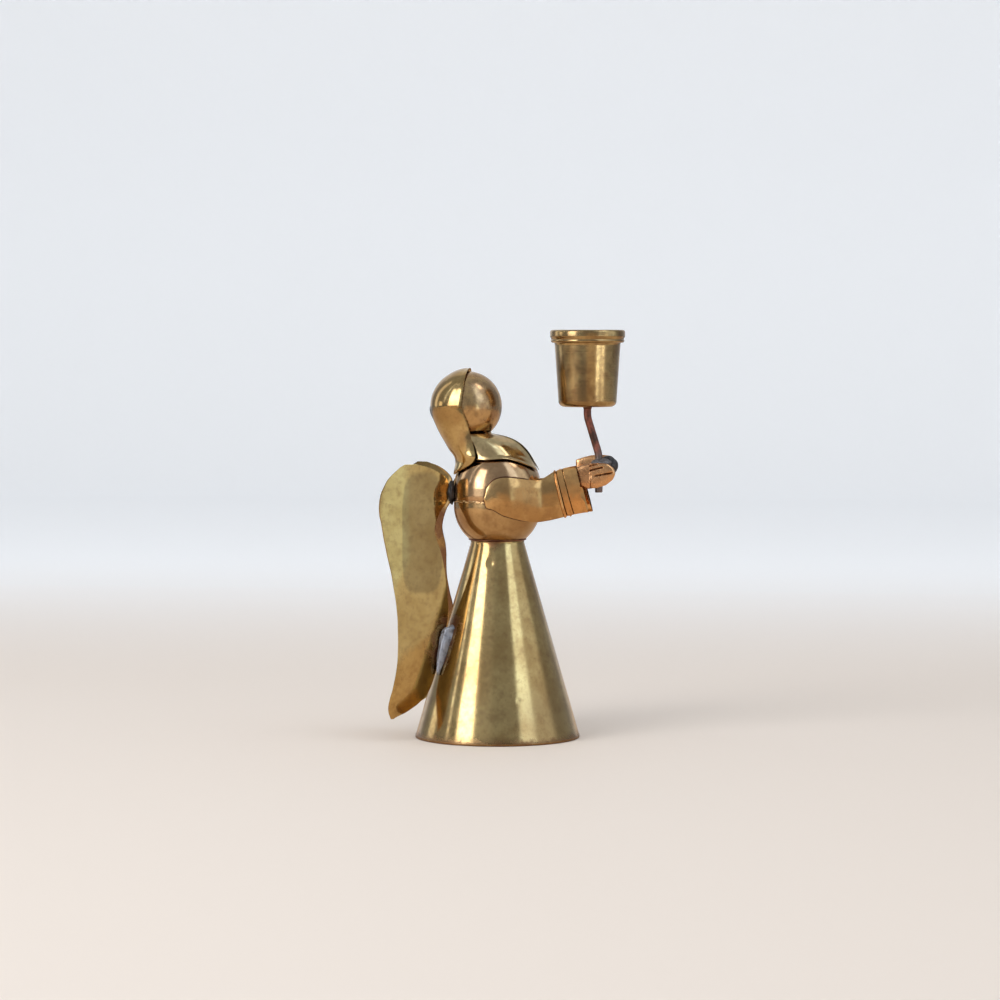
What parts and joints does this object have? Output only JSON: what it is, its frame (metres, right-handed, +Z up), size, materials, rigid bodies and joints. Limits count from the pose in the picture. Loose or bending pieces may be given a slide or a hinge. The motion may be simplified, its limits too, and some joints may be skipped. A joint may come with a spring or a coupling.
{
  "type": "candle holder",
  "caption": "Sheet brass angel with a cone skirt and soldered wings, holding up a cup for a household candle on a bent wire stem.",
  "frame": {"origin": "on the table at the axis of the skirt", "axes": "+X the way the angel faces, towards the candle cup; +Z up; +Y to the angel's left"},
  "size_m": [0.088, 0.0606, 0.15],
  "materials": {
    "polished_brass": "polished sheet brass with light tarnish",
    "aged_brass": "polished brass with brown tarnish",
    "copper_wire": "oxidised copper, satin",
    "lead_solder": "dull grey solder"
  },
  "bodies": {
    "root": {"skirt_cone": "aged_brass", "waist_disc": "aged_brass", "waist_solder": "copper_wire", "torso_lower_shell": "aged_brass", "torso_upper_shell": "polished_brass", "neck_peg": "aged_brass", "head_ball": "aged_brass", "hair": "polished_brass", "hair_solder": "lead_solder", "collar": "polished_brass", "right_sleeve": "aged_brass", "left_sleeve": "aged_brass", "right_cuff": "aged_brass", "left_cuff": "aged_brass", "right_hand": "aged_brass", "left_hand": "aged_brass", "hand_solder": "lead_solder", "candle_stem": "copper_wire", "stem_solder": "copper_wire", "candle_cup": "polished_brass", "right_wing": "polished_brass", "left_wing": "polished_brass", "right_wing_solder": "lead_solder", "left_wing_solder": "lead_solder", "right_skirt_solder": "lead_solder", "left_skirt_solder": "lead_solder"}
  },
  "joints": []
}
